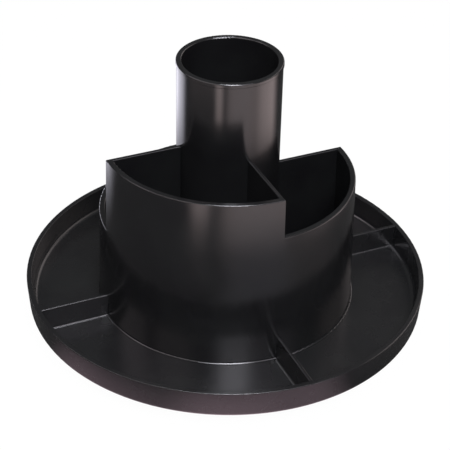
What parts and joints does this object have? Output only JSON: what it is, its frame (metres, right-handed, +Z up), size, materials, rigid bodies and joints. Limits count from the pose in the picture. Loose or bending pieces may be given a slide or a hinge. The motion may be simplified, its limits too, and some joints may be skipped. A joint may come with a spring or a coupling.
{
  "type": "revolving tool caddy",
  "caption": "Round revolving desk caddy: a ribbed dish tray carries stepped sector pots around a tall centre tube, turning on a ball-bearing base.",
  "frame": {"origin": "on the turning axis, level with the undersides of the four feet", "axes": "+Z up along the turning axis; the pots' walls and the tray's ribs lie along X and Y; the tallest pot is in the quarter with negative X and negative Y"},
  "size_m": [0.2199, 0.22, 0.1557],
  "materials": {
    "caddy_black": "satin black moulded polystyrene with soft reflections",
    "base_black": "fine-grained black moulded plastic",
    "foot_rubber": "dark grey moulded rubber",
    "race_steel": "zinc-plated pressed steel",
    "ball_steel": "polished bearing steel",
    "screw_steel": "zinc-plated steel",
    "bearing_acetal": "natural white acetal",
    "insert_brass": "turned brass"
  },
  "bodies": {
    "base": {"base_plate": "base_black", "foot_rear_right": "foot_rubber", "foot_rear_left": "foot_rubber", "foot_front_left": "foot_rubber", "foot_front_right": "foot_rubber", "lower_race": "race_steel", "lower_race_screws": "screw_steel", "pivot_bush": "bearing_acetal", "thrust_washer": "bearing_acetal"},
    "ball_ring": {"ball_cage": "bearing_acetal", "bearing_balls": "ball_steel"},
    "carousel": {"tray": "caddy_black", "upper_race": "race_steel", "hub_insert": "insert_brass", "pivot_screw": "screw_steel", "pivot_washer": "screw_steel", "pot_drum": "caddy_black", "drum_screws": "screw_steel", "centre_tube": "caddy_black", "tube_screws": "screw_steel"}
  },
  "joints": [
    {"name": "carousel_turn", "type": "hinge", "parent": "base", "child": "carousel", "pos_m": [0, 0, 0.0112], "axis": [0, 0, 1], "continuous": true},
    {"name": "ball_ring_turn", "type": "hinge", "parent": "base", "child": "ball_ring", "pos_m": [0, 0, 0.0082], "axis": [0, 0, 1], "continuous": true}
  ],
  "couplings": [
    {"joint": "ball_ring_turn", "follows": "carousel_turn", "ratio": 0.5}
  ]
}
